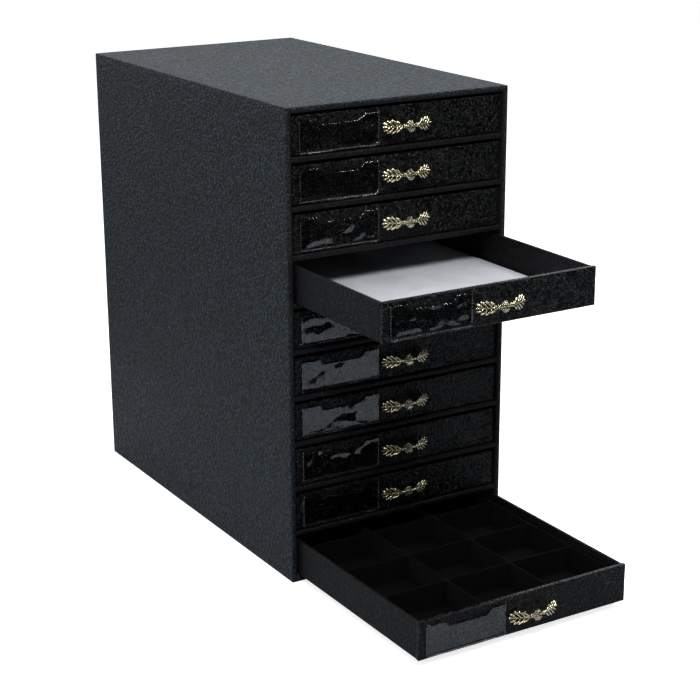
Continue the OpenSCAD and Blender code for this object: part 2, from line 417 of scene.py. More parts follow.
def studio_floor():
    """Matt white paper. The camera sees it brighter than the armoire's glossy parts do, so they stay dark."""
    m, where = new_material("studio floor")
    tooth = add(m, "ShaderNodeTexNoise", {"Vector": where, "Scale": 300.0, "Detail": 2.0})
    tone = add(m, "ShaderNodeMapRange", {"Value": tooth.outputs["Fac"], "To Min": 0.98, "To Max": 1.02})
    tinted = add(
        m, "ShaderNodeVectorMath",
        {0: tuple(colours().floor[:3]), "Scale": tone},
        operation="SCALE",
    )
    paper = add(m, "ShaderNodeBsdfDiffuse", {"Color": tinted})
    glow = add(m, "ShaderNodeEmission", {"Color": (1, 1, 1, 1), "Strength": 0.8})
    both = add(m, "ShaderNodeAddShader", {0: paper, 1: glow})
    grey = add(m, "ShaderNodeBsdfDiffuse", {"Color": linear("#aab0b6")})
    seen = add(m, "ShaderNodeLightPath").outputs["Is Camera Ray"]
    shown = add(m, "ShaderNodeMixShader", {0: seen, 1: grey, 2: both})
    return finish_surface(m, shown)


made_finishes = {}


def finish(maker):
    """The material that a maker makes, made once."""
    if maker not in made_finishes:
        made_finishes[maker] = maker()
    return made_finishes[maker]


# ---------------------------------------------------------------- mesh tools


def add_block(bm, low, high):
    """A block between two corners; returns its vertices."""
    low, high = Vector(low), Vector(high)
    place = Matrix.Translation((low + high) / 2) @ Matrix.Diagonal((*(high - low), 1))
    return bmesh.ops.create_cube(bm, size=1, matrix=place)["verts"]


def edges_where(bm, test=lambda middle: True, least_angle=30):
    """Edges between two faces that meet at an angle, whose middle passes the test."""
    found = []
    for edge in bm.edges:
        if len(edge.link_faces) == 2 and edge.calc_face_angle(0) > math.radians(least_angle):
            if test((edge.verts[0].co + edge.verts[1].co) / 2):
                found.append(edge)
    return found


def round_edges(bm, edges, radius, segments=4):
    bmesh.ops.bevel(
        bm, geom=edges, offset=radius, offset_type="OFFSET", segments=segments, profile=0.5,
        affect="EDGES", material=-1, clamp_overlap=True,
    )


def cut_at(bm, point, normal):
    bmesh.ops.bisect_plane(
        bm, geom=bm.verts[:] + bm.edges[:] + bm.faces[:], dist=1e-6, plane_co=point, plane_no=normal
    )


def cut_across(bm, axis, step):
    """Cuts a mesh across an axis about every step, so that its faces can bend."""
    along = [v.co.dot(axis) for v in bm.verts]
    low, high = min(along), max(along)
    count = max(1, round((high - low) / step))
    for i in range(1, count):
        cut_at(bm, axis * (low + (high - low) * i / count), axis)


def swell(bm, amount, size, seed=0.0):
    """Moves a surface in and out by up to amount, in swells about size across."""
    bm.normal_update()
    shift = Vector((seed * 3.7, seed * 1.9, seed * 2.3))
    moves = [(v, v.normal * amount * noise.noise(v.co / size + shift)) for v in bm.verts]
    for vertex, move in moves:
        vertex.co += move


def to_mesh(bm, name):
    mesh = bpy.data.meshes.new(name)
    bm.to_mesh(mesh)
    bm.free()
    return mesh


def from_mesh(mesh):
    bm = bmesh.new()
    bm.from_mesh(mesh)
    return bm


def make_piece(name, mesh, maker, body, stands_for=(), crease=40):
    """Makes a mesh a finished piece of the armoire, riding on its body."""
    mesh.name = name
    mesh.polygons.foreach_set("use_smooth", [True] * len(mesh.polygons))
    mesh.set_sharp_from_angle(angle=math.radians(crease))
    mesh.materials.clear()
    mesh.materials.append(finish(maker))
    piece = bpy.data.objects.new(name, mesh)
    bpy.context.scene.collection.objects.link(piece)
    if stands_for:
        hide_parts(*stands_for)
    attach(piece, body)
    return piece


def drawer_place(drawer):
    """Where a drawer is: the middle of its front's face, at its underside."""
    low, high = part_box(drawer + "_front")
    return Matrix.Translation(((low[0] + high[0]) / 2, low[1], low[2]))


def drawer_copy(mesh, drawer):
    """A copy of a mesh made in a drawer's own space, put in its place."""
    copy = mesh.copy()
    copy.transform(drawer_place(drawer))
    return copy


def local_box(node, drawer=DRAWERS[0]):
    """A drawer node's corners in the drawer's own space."""
    back = drawer_place(drawer).inverted()
    low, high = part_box(f"{drawer}_{node}")
    return back @ Vector(low), back @ Vector(high)


# ---------------------------------------------------------------- pieces


class ArmoireOperator:
    bl_options = {"REGISTER", "UNDO"}


class ARMOIRE_OT_stage(ArmoireOperator, bpy.types.Operator):
    """Set the camera, the soft studio lights and the pale floor"""

    bl_idname = "armoire.stage"
    bl_label = "Stage"

    def execute(self, context):
        scene = context.scene
        scene.view_settings.view_transform = "Standard"
        camera = bpy.data.objects.new("camera", bpy.data.cameras.new("camera"))
        camera.data.sensor_width = 36
        camera.data.lens = 89.1
        camera.location = (-0.832, -1.481, 0.689)
        camera.rotation_euler = (math.radians(90 - 17.53), math.radians(0.21), math.radians(-31.38))
        camera.data.clip_end = 50
        scene.collection.objects.link(camera)
        scene.camera = camera

        for name, place, aim, wide, high, power in (
            ("key light", (-0.8, -1.5, 2.0), (0, -0.15, 0.2), 0.6, 0.6, 32),
            ("top light", (0.2, 0.3, 2.4), (0, 0, 0.3), 1.8, 1.2, 36),
            ("low light", (-1.7, -1.9, 0.5), (0, -0.2, 0.15), 0.35, 0.35, 6),
            ("side light", (-2.4, 0.9, 1.5), (-0.1, 0, 0.2), 0.9, 0.9, 7),
            ("front light", (0.85, -0.95, 1.6), (0, -0.2, 0.35), 0.3, 0.3, 5),
        ):
            lamp = bpy.data.lights.new(name, "AREA")
            lamp.shape = "RECTANGLE"
            lamp.size, lamp.size_y = wide, high
            lamp.energy = power
            holder = bpy.data.objects.new(name, lamp)
            holder.location = place
            holder.rotation_euler = (Vector(aim) - Vector(place)).to_track_quat("-Z", "Y").to_euler()
            scene.collection.objects.link(holder)

        world = bpy.data.worlds.new("studio")
        world.use_nodes = True
        world.node_tree.nodes.clear()
        where = add(world, "ShaderNodeTexCoord").outputs["Generated"]
        along = add(world, "ShaderNodeSeparateXYZ", {"Vector": where})
        # The room is bright behind the armoire, and dark in front of it, under the horizon and high up
        wall = 1.0
        for axis, start, end, at_start, at_end in (
            ("Z", -0.2, 0.02, 0.12, 1.15), ("Z", 0.35, 0.6, 1.0, 0.2), ("Y", -0.25, 0.5, 0.05, 0.9),
        ):
            fade = add(
                world, "ShaderNodeMapRange",
                {
                    "Value": along.outputs[axis], "From Min": start, "From Max": end,
                    "To Min": at_start, "To Max": at_end,
                },
                interpolation_type="SMOOTHSTEP",
            )
            wall = add(world, "ShaderNodeMath", {0: wall, 1: fade}, operation="MULTIPLY")
        seen = add(world, "ShaderNodeLightPath").outputs["Is Camera Ray"]
        strength = add(world, "ShaderNodeMix", {"Factor": seen, "A": wall, "B": 1.0}, data_type="FLOAT")
        sky = add(world, "ShaderNodeBackground", {"Color": linear("#f3f9ff"), "Strength": strength})
        add(world, "ShaderNodeOutputWorld", {"Surface": sky})
        scene.world = world

        left_end, right_end, front_end, back_end, far = -0.4, 2.0, -0.98, 0.5, 12
        for name, left, right, front, back, mirrored in (
            ("floor", left_end, right_end, front_end, back_end, True),
            ("floor_front", -far, far, -far, front_end, False),
            ("floor_back", -far, far, back_end, far, False),
            ("floor_left", -far, left_end, front_end, back_end, False),
            ("floor_right", right_end, far, front_end, back_end, False),
        ):
            bm = bmesh.new()
            bmesh.ops.create_grid(
                bm, x_segments=4, y_segments=4, size=0.5,
                matrix=Matrix.Translation(((left + right) / 2, (front + back) / 2, 0))
                @ Matrix.Diagonal((right - left, back - front, 1, 1)),
            )
            floor = bpy.data.objects.new(name, to_mesh(bm, name))
            floor.data.materials.append(finish(studio_floor))
            floor.visible_glossy = floor.visible_transmission = mirrored
            scene.collection.objects.link(floor)
        return {"FINISHED"}


class ARMOIRE_OT_boards(ArmoireOperator, bpy.types.Operator):
    """Line the chest's boards with black paper where they show in the bays"""

    bl_idname = "armoire.boards"
    bl_label = "Boards"

    def execute(self, context):
        for name in (
            "side_panel_left", "side_panel_right", "top_panel", "base_panel", "back_panel", "shelves",
        ):
            board = frame["nodes"][name]
            board.data.materials.clear()
            board.data.materials.append(finish(bay_paper))
        return {"FINISHED"}


class ARMOIRE_OT_outer_cover(ArmoireOperator, bpy.types.Operator):
    """Wrap the chest in fine leatherette, turned in round its front opening and over its back"""

    bl_idname = "armoire.outer_cover"
    bl_label = "Outer Cover"

    def execute(self, context):
        s = sizes()
        low, high = (Vector(c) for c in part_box("outer_cover"))
        sheet_t = 0.55 * MM
        inside_by = 0.25 * MM
        bm = bmesh.new()
        add_block(bm, low + Z * inside_by, high + Y * (COVER_T - inside_by))
        front = min(bm.faces, key=lambda face: face.calc_center_median().y)
        bmesh.ops.inset_region(bm, faces=[front], thickness=WALL_T + inside_by)
        for vertex in front.verts:
            if vertex.co.z < low.z + 2 * WALL_T:
                vertex.co.z = low.z + BASE_T + inside_by / 2
        bmesh.ops.inset_region(bm, faces=[front], thickness=0, depth=-s.turn_in)
        bmesh.ops.delete(bm, geom=[front], context="FACES_ONLY")
        round_edges(bm, edges_where(bm), s.edge_radius, 5)
        for axis in (X, Y, Z):
            cut_across(bm, axis, 12 * MM)
        swell(bm, s.swell, 45 * MM)
        cover = make_piece(
            "outer_cover_wrap", to_mesh(bm, "outer_cover_wrap"), fine_leatherette, CHEST,
            ["outer_cover"],
        )
        thickness = cover.modifiers.new("sheet", "SOLIDIFY")
        thickness.thickness = sheet_t
        thickness.offset = -1
        return {"FINISHED"}


class ARMOIRE_OT_back_and_base(ArmoireOperator, bpy.types.Operator):
    """Glue the back sheet and the base lining over the turned edges of the cover"""

    bl_idname = "armoire.back_and_base"
    bl_label = "Back and Base"

    def execute(self, context):
        s = sizes()
        low, high = (Vector(c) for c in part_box("back_cover"))
        border = s.back_border
        bm = bmesh.new()
        add_block(bm, low + X * border + Z * border, high - X * border - Z * border)
        round_edges(bm, edges_where(bm), 0.25 * MM, 2)
        cut_across(bm, X, 12 * MM)
        cut_across(bm, Z, 12 * MM)
        make_piece(
            "back_sheet", to_mesh(bm, "back_sheet"), fine_leatherette, CHEST,
            ["back_cover"],
        )
        low, high = (Vector(c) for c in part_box("base_lining"))
        bm = bmesh.new()
        add_block(bm, low + (X + Y) * border, high - (X + Y) * border)
        round_edges(bm, edges_where(bm), 0.2 * MM, 2)
        make_piece(
            "base_sheet", to_mesh(bm, "base_sheet"), bay_paper, CHEST, ["base_lining"]
        )
        return {"FINISHED"}


class ARMOIRE_OT_shelf_bindings(ArmoireOperator, bpy.types.Operator):
    """Roll leatherette round the front edge of each shelf"""

    bl_idname = "armoire.shelf_bindings"
    bl_label = "Shelf Bindings"

    def execute(self, context):
        low, high = (Vector(c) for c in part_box("shelf_bindings"))
        roll_radius = 1.7 * MM
        pitch = (high.z - low.z - SHELF_T) / (SHELF_COUNT - 1)
        bm = bmesh.new()
        for i in range(SHELF_COUNT):
            foot = low.z + i * pitch
            add_block(bm, (low.x, low.y, foot), (high.x, high.y, foot + SHELF_T))
        noses = edges_where(bm, lambda middle: middle.y < low.y + 1 * MM and abs(middle.x) < high.x / 2)
        round_edges(bm, noses, roll_radius, 5)
        cut_across(bm, X, 8 * MM)
        swell(bm, sizes().swell, 20 * MM)
        make_piece(
            "shelf_edge_rolls", to_mesh(bm, "shelf_edge_rolls"), tray_leatherette, CHEST,
            ["shelf_bindings"],
        )
        return {"FINISHED"}


class ARMOIRE_OT_trays(ArmoireOperator, bpy.types.Operator):
    """Make the drawers' covered trays, with soft rims and corners"""

    bl_idname = "armoire.trays"
    bl_label = "Drawer Trays"

    def execute(self, context):
        s = sizes()
        low, high = local_box("tray")
        bm = bmesh.new()
        add_block(bm, low, high)
        for point, normal in (
            (low + X * TRAY_T, X), (high - X * TRAY_T, X), (high - Y * TRAY_T, Y), (low + Z * TRAY_T, Z),
        ):
            cut_at(bm, point, normal)
        over_middle = Vector(((low.x + high.x) / 2, (low.y + high.y) / 2, high.z))
        mouth = min(bm.faces, key=lambda face: (face.calc_center_median() - over_middle).length)
        bmesh.ops.inset_region(bm, faces=[mouth], thickness=0, depth=-(high.z - low.z - TRAY_T))
        open_end = []
        for face in bm.faces:
            centre = face.calc_center_median()
            if abs(centre.y - low.y) < CLOSE and abs(centre.x) < 1 * MM and centre.z > low.z + TRAY_T:
                open_end.append(face)
        bmesh.ops.delete(bm, geom=open_end, context="FACES")
        bmesh.ops.remove_doubles(bm, verts=bm.verts[:], dist=1e-6)
        bmesh.ops.recalc_face_normals(bm, faces=bm.faces[:])
        rim = edges_where(bm, lambda middle: middle.z > high.z - CLOSE and middle.y > low.y + CLOSE, 60)
        corners = edges_where(
            bm, lambda middle: middle.y > high.y - CLOSE and abs(middle.x) > high.x - CLOSE, 60
        )
        feet = edges_where(bm, lambda middle: middle.z < low.z + CLOSE and middle.y > low.y + CLOSE, 60)
        round_edges(bm, list({*rim, *corners, *feet}), s.rim_radius, 4)
        cut_across(bm, Y, 12 * MM)
        template = to_mesh(bm, "tray")
        for i, drawer in enumerate(DRAWERS):
            bm = from_mesh(drawer_copy(template, drawer))
            swell(bm, 0.06 * MM, 30 * MM, i)
            make_piece(
                drawer + "_tray_shell", to_mesh(bm, "tray"), tray_leatherette, drawer,
                [drawer + "_tray"],
            )
        return {"FINISHED"}


class ARMOIRE_OT_fronts(ArmoireOperator, bpy.types.Operator):
    """Wrap the drawer fronts in coarse leatherette, creased where the label pocket's seam pulls it in"""

    bl_idname = "armoire.fronts"
    bl_label = "Drawer Fronts"

    def execute(self, context):
        s = sizes()
        low, high = local_box("front")
        seam_x = local_box("label_pocket")[1].x
        bm = bmesh.new()
        add_block(bm, low, high)
        round_edges(bm, edges_where(bm, lambda middle: middle.y < low.y + CLOSE), s.front_radius, 4)
        round_edges(bm, edges_where(bm, lambda middle: middle.y > high.y - CLOSE), 0.5 * MM, 2)
        cut_across(bm, X, 3 * MM)
        cut_across(bm, Z, 3 * MM)
        crease_depth = 0.35 * MM
        for offset in (-0.8, -0.3, 0.3, 0.8):
            cut_at(bm, X * (seam_x + offset * MM), X)
        for vertex in bm.verts:
            if abs(vertex.co.x - seam_x) < 0.35 * MM and vertex.co.y < low.y + 1 * MM:
                vertex.co.y += crease_depth
        template = to_mesh(bm, "front")
        for i, drawer in enumerate(DRAWERS):
            bm = from_mesh(drawer_copy(template, drawer))
            swell(bm, s.swell, 14 * MM, i)
            make_piece(
                drawer + "_front_panel", to_mesh(bm, "front"), coarse_leatherette, drawer,
                [drawer + "_front"],
            )
        return {"FINISHED"}


class ARMOIRE_OT_label_pockets(ArmoireOperator, bpy.types.Operator):
    """Cut the clear label pockets with their thumb notches, and sew them on along three sides"""

    bl_idname = "armoire.label_pockets"
    bl_label = "Label Pockets"

    def execute(self, context):
        low, high = local_box("label_pocket")
        film = self.film_template(low, high)
        seam = self.seam_template(low, high)
        for i, drawer in enumerate(DRAWERS):
            bm = from_mesh(film)
            self.ripple(bm, low, high, i)
            bm.transform(drawer_place(drawer))
            pocket = make_piece(
                drawer + "_pocket_film", to_mesh(bm, "film"), clear_vinyl, drawer,
                [drawer + "_label_pocket"],
            )
            sheet = pocket.modifiers.new("film", "SOLIDIFY")
            sheet.thickness = sizes().film
            sheet.offset = 1
            make_piece(
                drawer + "_pocket_stitching", drawer_copy(seam, drawer), sewing_thread, drawer,
            )
        return {"FINISHED"}

    def film_template(self, low, high):
        """A flat film with its thumb notch, cut fine enough to ripple."""
        notch_left, notch_width, notch_depth, slope = 18 * MM, 49 * MM, 5.5 * MM, 5 * MM
        bm = bmesh.new()
        corners = [bm.verts.new((x, low.y, z)) for x, z in (
            (low.x, low.z), (high.x, low.z), (high.x, high.z), (low.x, high.z))]
        bm.faces.new(corners)
        cut_across(bm, X, 1.6 * MM)
        cut_across(bm, Z, 1.6 * MM)
        for rise in (0.4, 0.8, 1.2, 2.0, 2.4, 2.8):
            cut_at(bm, Z * (low.z + rise * MM), Z)
        left, right = low.x + notch_left, low.x + notch_left + notch_width
        cut_at(bm, Z * (high.z - notch_depth), Z)
        for top, way in ((left, 1), (right, -1)):
            cut_at(bm, Vector((top, low.y, high.z)), Vector((way * notch_depth, 0, way * slope)))
        gone = []
        for face in bm.faces:
            centre = face.calc_center_median()
            down = (high.z - centre.z) / notch_depth
            if down < 1 and left + slope * down < centre.x < right - slope * down:
                gone.append(face)
        bmesh.ops.delete(bm, geom=gone, context="FACES")
        bmesh.ops.remove_doubles(bm, verts=bm.verts[:], dist=0.05 * MM)
        for face in bm.faces:
            if face.normal.y > 0:
                face.normal_flip()
        return to_mesh(bm, "film")

    def ripple(self, bm, low, high, number):
        """Lifts the film off the front between its sewn edges, in ripples that differ from drawer to drawer.

        Along its foot the film bulges in a ridge over the seam.
        """
        s = sizes()
        width, tall = high.x - low.x, high.z - low.z
        shift = Vector((number * 5.3, number * 2.1, 0))
        clear, ridge_z, ridge_width, ridge_rise = 0.25 * MM, 1.6 * MM, 0.8 * MM, 1.1 * MM
        for vertex in bm.verts:
            u = (vertex.co.x - low.x) / width
            v = (vertex.co.z - low.z) / tall
            held = min(1, u * 9, (1 - u) * 9, v * 5)
            held = held * held * (3 - 2 * held)
            slack = 0.5 + 0.5 * noise.noise(Vector((u * 2.2, v * 1.3, 0)) + shift)
            fine = noise.noise(Vector((u * 7, v * 3.4, 4)) + shift)
            ridge = math.exp(-((v * tall - ridge_z) / ridge_width) ** 2) * (0.4 + 0.6 * slack)
            rise = held * s.film_bulge * (slack + FILM_WAVES[number] * fine) + ridge * ridge_rise
            vertex.co.y = -(clear + rise)

    def seam_template(self, low, high):
        """Stitches down the pocket's sides and along its foot; the right seam is as tall as the front."""
        s = sizes()
        front_low, front_high = local_box("front")
        inset = 1.0 * MM
        edge = 1.6 * MM
        rows = (
            (Vector((low.x + inset, 0, low.z + edge)), Vector((low.x + inset, 0, high.z - edge))),
            (Vector((low.x + inset, 0, low.z + inset)), Vector((high.x - inset, 0, low.z + inset))),
            (
                Vector((high.x - inset, 0, front_low.z + edge)),
                Vector((high.x - inset, 0, front_high.z - edge)),
            ),
        )
        bm = bmesh.new()
        for start, end in rows:
            run = end - start
            count = round(run.length / s.stitch_pitch)
            for i in range(count):
                middle = start + run * (i + 0.5) / count
                middle.y = -(0.25 * MM + s.film)
                turn = run.to_track_quat("Z", "Y").to_matrix().to_4x4()
                shape = Matrix.Diagonal((s.thread / 2, s.thread / 2, s.stitch_pitch * 0.36, 1))
                bmesh.ops.create_icosphere(
                    bm, subdivisions=1, radius=1, matrix=Matrix.Translation(middle) @ turn @ shape
                )
        return to_mesh(bm, "seam")


# A leaf's pairs of lobes: each one's root on the midrib and reach, in millimetres, and angle in degrees
LOBES = ((8.9, 5.8, 47), (12.5, 7.2, 49), (16.1, 7.0, 47), (19.6, 5.2, 38))
# The web behind the lobes: the place, half height and half width of each flat piece, in millimetres
WEBS = ((11.5, 2.6, 3.2), (15.0, 4.3, 3.6), (18.6, 4.6, 3.6), (21.6, 3.2, 2.6))
# The rosette's berry: rings of beads, each with its count and its angle from the top in degrees
BERRY_RINGS = ((1, 0), (6, 34), (11, 68))
SHELL_RIBS = (-165, -130, -95, -60, -25)


class ARMOIRE_OT_pulls(ArmoireOperator, bpy.types.Operator):
    """Cast the brass bow pulls: two leaves, a bar and a rosette, with their screws inside the drawers"""

    bl_idname = "armoire.pulls"
    bl_label = "Pulls"

    def execute(self, context):
        casting = self.casting()
        screws = self.screws()
        for drawer in DRAWERS:
            make_piece(
                drawer + "_pull_casting", drawer_copy(casting, drawer), cast_brass, drawer,
                [drawer + "_pull"], crease=70,
            )
            make_piece(
                drawer + "_pull_screws", drawer_copy(screws, drawer), plated_steel, drawer,
            )
        return {"FINISHED"}

    def middle(self):
        low, high = local_box("pull")
        return (low.x + high.x) / 2, (low.z + high.z) / 2

    def bow(self, x):
        """How far the pull's middle line stands off the front, at x from its middle."""
        half, rise = 29 * MM, 9.4 * MM
        radius = (half * half + rise * rise) / (2 * rise)
        return math.sqrt(radius * radius - x * x) - (radius - rise)

    def blob(self, bm, x, z, out, size, turn=0.0):
        """An ellipsoid of clay at x and z from the pull's middle, standing out from the front."""
        place = Matrix.Translation((x, -out, z)) @ Matrix.Rotation(turn, 4, "Y")
        bmesh.ops.create_icosphere(
            bm, subdivisions=2, radius=1, matrix=place @ Matrix.Diagonal((size[0], size[1], size[2], 1))
        )

    def chain(self, bm, path, count=7):
        """A tapering strand of clay; path gives x, z, out and radius for each step from 0 to 1."""
        for i in range(count):
            x, z, out, radius = path(i / (count - 1))
            self.blob(bm, x, z, out, (radius, radius, radius))

    def leaf(self, bm, side):
        """An acanthus leaf on a web and a foot: a midrib, pairs of lobes that end in beads, and a tip."""

        def midrib(t):
            x = (8.0 + 16.5 * t) * MM
            return side * x, 0, self.bow(x) + 0.1 * MM, (1.25 - 0.5 * t) * MM

        self.chain(bm, midrib, 18)
        for root, reach, angle in LOBES:
            for up in (-1, 1):
                def lobe(t, root=root, reach=reach, angle=angle, up=up):
                    lean = math.radians(angle + 14 * (1 - t))
                    x = root + reach * t * math.cos(lean)
                    z = reach * t * math.sin(lean)
                    out = self.bow(min(x, 25) * MM) / MM + 1.3 * math.sin(math.pi * min(1, 0.15 + 0.8 * t))
                    return side * x * MM, up * z * MM, max(1.2, out) * MM, (0.7 + 0.45 * t * t) * MM
                self.chain(bm, lobe, 10)
        self.blob(bm, side * 24.7 * MM, 0, 3.4 * MM, (1.2 * MM, 1.3 * MM, 1.15 * MM))
        for x, tall, wide in WEBS:
            tilt = side * math.atan2(self.bow(x * MM) - self.bow((x + 1) * MM), 1 * MM)
            place = Matrix.Translation((side * x * MM, -(self.bow(x * MM) - 0.3 * MM), 0))
            turn = Matrix.Rotation(tilt, 4, "Z")
            bmesh.ops.create_icosphere(
                bm, subdivisions=2, radius=1,
                matrix=place @ turn @ Matrix.Diagonal((wide * MM, 0.8 * MM, tall * MM, 1)),
            )
        foot_radius, foot_height = 3.0 * MM, 4.2 * MM
        foot = Matrix.Translation((side * SCREW_X, -2.2 * MM, 0)) @ Matrix.Rotation(math.pi / 2, 4, "X")
        bmesh.ops.create_cone(
            bm, cap_ends=True, segments=20, radius1=foot_radius, radius2=foot_radius, depth=foot_height,
            matrix=foot,
        )

    def rosette(self, bm):
        """A berry of small beads over a ribbed shell."""
        self.blob(bm, 0, 0, 9.0 * MM, (4.7 * MM, 1.9 * MM, 4.9 * MM))
        berry_x, berry_z, berry_out, berry_r, berry_rise = -0.7 * MM, 2.0 * MM, 9.9 * MM, 3.0 * MM, 2.1 * MM
        bead_r = 0.62 * MM
        self.blob(bm, berry_x, berry_z, berry_out, (berry_r, berry_rise, berry_r))
        for count, tilt in BERRY_RINGS:
            lean = math.radians(tilt)
            for i in range(count):
                turn = 2 * math.pi * (i + 0.5 * (count > 6)) / count
                self.blob(
                    bm, berry_x + berry_r * math.sin(lean) * math.cos(turn),
                    berry_z + berry_r * math.sin(lean) * math.sin(turn),
                    berry_out + berry_rise * math.cos(lean), (bead_r, bead_r, bead_r),
                )
        shell_x, shell_z = 0.9 * MM, -1.6 * MM
        for angle in SHELL_RIBS:
            def rib(t, turn=math.radians(angle)):
                reach = (0.4 + 3.1 * t) * MM
                return (
                    shell_x + reach * math.cos(turn), shell_z + reach * math.sin(turn),
                    (10.6 - 0.9 * t * t) * MM, (0.5 + 0.45 * t) * MM,
                )
            self.chain(bm, rib, 8)

    def casting(self):
        """The whole pull: its clay shapes melted into one skin of even cells, smoothed, with a flat back."""
        centre_x, centre_z = self.middle()
        bm = bmesh.new()

        def bar(t):
            x = (-10 + 20 * t) * MM
            return x, 0, self.bow(abs(x)) + 0.2 * MM, 1.45 * MM

        self.chain(bm, bar, 20)
        for side in (-1, 1):
            self.leaf(bm, side)
            for x, thick, wide, tall in ((6.6, 1.1, 2.0, 2.1), (8.6, 0.8, 1.8, 1.8)):
                collar = (thick * MM, wide * MM, tall * MM)
                self.blob(bm, side * x * MM, 0, self.bow(x * MM) + 0.3 * MM, collar)
        self.rosette(bm)
        clay = bpy.data.objects.new("pull clay", to_mesh(bm, "pull clay"))
        bpy.context.scene.collection.objects.link(clay)
        remesh = clay.modifiers.new("voxels", "REMESH")
        remesh.mode = "VOXEL"
        remesh.voxel_size = sizes().pull_voxel
        evaluated = clay.evaluated_get(bpy.context.evaluated_depsgraph_get())
        mesh = bpy.data.meshes.new_from_object(evaluated)
        bpy.data.objects.remove(clay)
        bm = from_mesh(mesh)
        bmesh.ops.smooth_vert(
            bm, verts=bm.verts[:], factor=0.5, use_axis_x=True, use_axis_y=True, use_axis_z=True
        )
        for vertex in bm.verts:
            vertex.co.y = min(0, vertex.co.y)
        self.mark_hollows(bm)
        bmesh.ops.translate(bm, verts=bm.verts[:], vec=(centre_x, -0.05 * MM, centre_z))
        return to_mesh(bm, "casting")

    def mark_hollows(self, bm):
        """Writes the patina attribute: 1 in hollows, 0 on the high parts, spread over the nearby surface."""
        bm.normal_update()
        bm.verts.index_update()
        bend = []
        for vertex in bm.verts:
            near = [edge.other_vert(vertex).co for edge in vertex.link_edges]
            mean = sum(near, Vector()) / len(near)
            bend.append((mean - vertex.co).dot(vertex.normal))
        for _ in range(3):
            bend = [
                (bend[v.index] + sum(bend[e.other_vert(v).index] for e in v.link_edges))
                / (1 + len(v.link_edges))
                for v in bm.verts
            ]
        layer = bm.verts.layers.float.new("patina")
        on_flat, deep = 0.35, 0.016 * MM
        for vertex in bm.verts:
            vertex[layer] = min(1, max(0, on_flat + bend[vertex.index] / deep))

    def screws(self):
        """Two pan-head screws with cross recesses, their heads against the inside of the front."""
        centre_x, centre_z = self.middle()
        inside = local_box("front")[1].y
        head_radius, head_height, recess_depth = 3 * MM, 1.6 * MM, 0.9 * MM
        slot_reach, slot_half = 1.7 * MM, 0.35 * MM
        bm = bmesh.new()
        for side in (-1, 1):
            single = bmesh.new()
            bmesh.ops.create_cone(
                single, cap_ends=True, segments=28, radius1=head_radius, radius2=head_radius,
                depth=head_height,
            )
            for at in (-slot_reach, -slot_half, slot_half, slot_reach):
                for axis in (X, Y):
                    cut_at(single, axis * at, axis)
            cross = []
            for face in single.faces:
                nearer, farther = sorted(abs(c) for c in face.calc_center_median()[:2])
                if face.normal.z > 0.9 and farther < slot_reach and nearer < slot_half:
                    cross.append(face)
            bmesh.ops.inset_region(single, faces=cross, thickness=0, depth=-recess_depth)
            top = head_height / 2 - CLOSE
            rim = edges_where(
                single, lambda middle: middle.z > top and Vector(middle[:2]).length > 2.8 * MM, 60
            )
            round_edges(single, rim, 0.7 * MM, 4)
            place = Matrix.Translation((centre_x + side * SCREW_X, inside + head_height / 2, centre_z))
            single.transform(place @ Matrix.Rotation(-math.pi / 2, 4, "X"))
            part = to_mesh(single, "screw")
            bm.from_mesh(part)
            bpy.data.meshes.remove(part)
        return to_mesh(bm, "screws")


class ARMOIRE_OT_pads(ArmoireOperator, bpy.types.Operator):
    """Lay a velvet-covered foam pad in each plain drawer, its crown found by cloth simulation"""

    bl_idname = "armoire.pads"
    bl_label = "Velvet Pads"

    def execute(self, context):
        low, high = local_box("pad")
        ease, crown_room = 0.3 * MM, 0.6 * MM
        bm = bmesh.new()
        add_block(bm, low + (X + Y) * ease, high - (X + Y) * ease - Z * crown_room)
        uprights = edges_where(bm, lambda middle: low.z + 1 * MM < middle.z < high.z - 1 * MM)
        round_edges(bm, uprights, 3 * MM, 3)
        round_edges(bm, edges_where(bm, lambda middle: middle.z > high.z - 1 * MM), 1.4 * MM, 3)
        cut_across(bm, X, 7 * MM)
        cut_across(bm, Y, 7 * MM)
        template = to_mesh(bm, "pad")
        template = self.fill(template, low)
        for i, drawer in enumerate(d for d in DRAWERS if d != INSERT_DRAWER):
            bm = from_mesh(drawer_copy(template, drawer))
            bmesh.ops.recalc_face_normals(bm, faces=bm.faces[:])
            swell(bm, sizes().swell, 24 * MM, i)
            pad = make_piece(
                drawer + "_velvet_pad", to_mesh(bm, "pad"), pad_velvet, drawer,
                [drawer + "_pad"], crease=60,
            )
        return {"FINISHED"}

    def fill(self, mesh, low):
        """Fills the velvet out as foam does, by pressure, with its underside glued down."""
        scene = bpy.context.scene
        flat = [v.co.copy() for v in mesh.vertices]
        cover = bpy.data.objects.new("pad cloth", mesh)
        scene.collection.objects.link(cover)
        glued = cover.vertex_groups.new(name="glued")
        glued.add([v.index for v in mesh.vertices if v.co.z < low.z + 1.5 * MM], 1.0, "REPLACE")
        cloth = cover.modifiers.new("cloth", "CLOTH")
        cloth.settings.quality = 6
        cloth.settings.mass = 0.25
        cloth.settings.tension_stiffness = cloth.settings.compression_stiffness = 20
        cloth.settings.bending_stiffness = 0.4
        cloth.settings.use_pressure = True
        cloth.settings.uniform_pressure_force = 4
        cloth.settings.effector_weights.gravity = 0
        cloth.settings.vertex_group_mass = "glued"
        steps = 20
        cloth.point_cache.frame_start = 1
        cloth.point_cache.frame_end = steps
        for step in range(1, steps + 1):
            scene.frame_set(step)
        evaluated = cover.evaluated_get(bpy.context.evaluated_depsgraph_get())
        filled = bpy.data.meshes.new_from_object(evaluated)
        most = sizes().pad_rise
        for vertex, start in zip(filled.vertices, flat):
            move = vertex.co - start
            if move.length > most:
                vertex.co = start + move.normalized() * most
        bpy.data.objects.remove(cover)
        scene.frame_set(1)
        return filled


